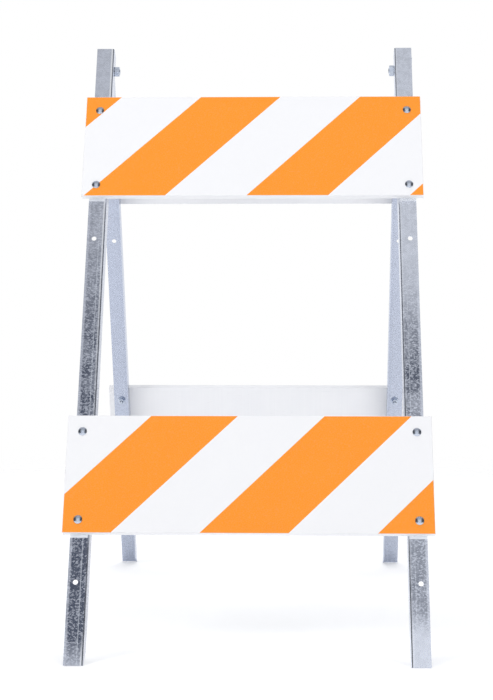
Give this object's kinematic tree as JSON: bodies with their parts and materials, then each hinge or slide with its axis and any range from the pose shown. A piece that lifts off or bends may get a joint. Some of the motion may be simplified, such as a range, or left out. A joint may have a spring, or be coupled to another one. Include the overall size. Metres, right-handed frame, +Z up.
{
  "type": "traffic barrier",
  "caption": "Folding A-frame traffic barrier with steel angle legs hinged near the top and striped reflective boards on both sides.",
  "frame": {"origin": "on the floor under the middle of the hinge line, the bottom centre of the open barrier's box", "axes": "+X along the boards to the right seen from the front, -Y towards the front boards' side, +Z up"},
  "size_m": [0.6096, 0.979, 1.0401],
  "materials": {
    "galvanised_steel": "galvanised, dull spangle",
    "white_plastic": "smooth satin",
    "striped_sheeting": "retroreflective sheeting, orange and white stripes at 45 degrees",
    "zinc_fastener": "bright zinc"
  },
  "bodies": {
    "front_frame": {"front_leg_left": "galvanised_steel", "front_leg_right": "galvanised_steel", "front_board_upper": "white_plastic", "front_sheeting_upper": "striped_sheeting", "front_bolts_upper": "zinc_fastener", "front_washers_upper": "zinc_fastener", "front_nuts_upper": "zinc_fastener", "front_board_lower": "white_plastic", "front_sheeting_lower": "striped_sheeting", "front_bolts_lower": "zinc_fastener", "front_washers_lower": "zinc_fastener", "front_nuts_lower": "zinc_fastener", "hinge_bolt_left": "zinc_fastener", "hinge_bolt_right": "zinc_fastener", "hinge_nut_left": "zinc_fastener", "hinge_nut_right": "zinc_fastener"},
    "rear_frame": {"rear_leg_left": "galvanised_steel", "rear_leg_right": "galvanised_steel", "rear_board_upper": "white_plastic", "rear_sheeting_upper": "striped_sheeting", "rear_bolts_upper": "zinc_fastener", "rear_washers_upper": "zinc_fastener", "rear_nuts_upper": "zinc_fastener", "rear_board_lower": "white_plastic", "rear_sheeting_lower": "striped_sheeting", "rear_bolts_lower": "zinc_fastener", "rear_washers_lower": "zinc_fastener", "rear_nuts_lower": "zinc_fastener"}
  },
  "joints": [
    {"name": "frame_hinge", "type": "hinge", "parent": "front_frame", "child": "rear_frame", "pos_m": [0, 0, 0.99797], "axis": [-1, 0, 0], "range_deg": [0, 50]}
  ]
}
